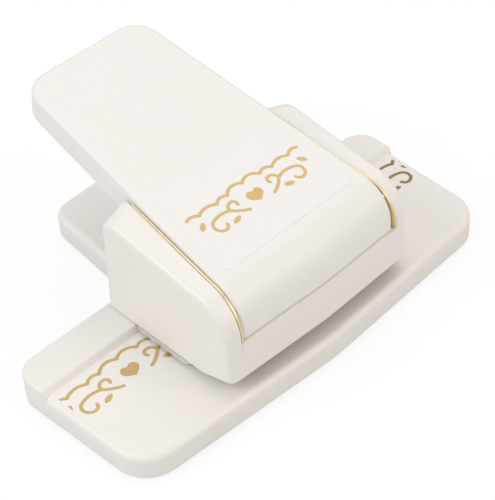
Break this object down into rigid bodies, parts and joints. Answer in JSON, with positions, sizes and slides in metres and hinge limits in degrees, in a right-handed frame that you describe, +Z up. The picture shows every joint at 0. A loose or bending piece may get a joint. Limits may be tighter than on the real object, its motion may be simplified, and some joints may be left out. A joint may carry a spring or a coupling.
{
  "type": "border craft punch",
  "caption": "Desktop border punch for paper crafts: T-shaped base, cutting unit under a housing, and a wide press lever hinged at the front.",
  "frame": {"origin": "centre of the bounding box's footprint, on the surface the rubber feet stand on", "axes": "+X to the right along the paper table, +Y from the paper entry at the front to the free end of the lever, +Z up"},
  "size_m": [0.1518, 0.1096, 0.0636],
  "materials": {
    "body_plastic": "satin cream-white moulding",
    "lever_plastic": "satin cream-white moulding",
    "cover_plastic": "fine matte texture",
    "inner_plastic": "plain moulded",
    "printed_film": "satin printed film with gold print",
    "screw_steel": "bright zinc",
    "tool_steel": "ground",
    "spring_steel": "drawn wire",
    "yellow_steel": "yellow passivated zinc",
    "foot_rubber": "matte"
  },
  "bodies": {
    "base": {"base_body": "body_plastic", "bottom_cover": "cover_plastic", "cover_screws": "screw_steel", "housing_screws": "screw_steel", "rubber_feet": "foot_rubber", "alignment_sticker_left": "printed_film", "alignment_sticker_right": "printed_film", "die_plate": "tool_steel", "stop_bar": "inner_plastic", "guide_plate": "tool_steel", "guide_block": "tool_steel", "unit_screws": "screw_steel", "guide_posts": "tool_steel", "return_spring_left": "spring_steel", "return_spring_right": "spring_steel", "pivot_pin": "tool_steel", "pin_clips": "spring_steel", "housing": "body_plastic", "side_plate_left": "yellow_steel", "side_plate_right": "yellow_steel"},
    "lever": {"lever_shell": "lever_plastic", "lever_label": "printed_film", "press_bar": "inner_plastic"},
    "press": {"press_carrier": "tool_steel", "punch": "tool_steel"}
  },
  "joints": [
    {"name": "lever_hinge", "type": "hinge", "parent": "base", "child": "lever", "pos_m": [0, -0.0378, 0.03224], "axis": [1, 0, 0], "range_deg": [-10, 0], "stiffness_Nm_per_rad": 2, "springref_deg": 2.86},
    {"name": "punch_slide", "type": "slide", "parent": "base", "child": "press", "axis": [0, 0, 1], "range_m": [-0.00341, 0], "deforming": ["return_spring_left", "return_spring_right"]}
  ],
  "couplings": [
    {"joint": "punch_slide", "follows": "lever_hinge", "m_per_rad": 0.0195}
  ]
}
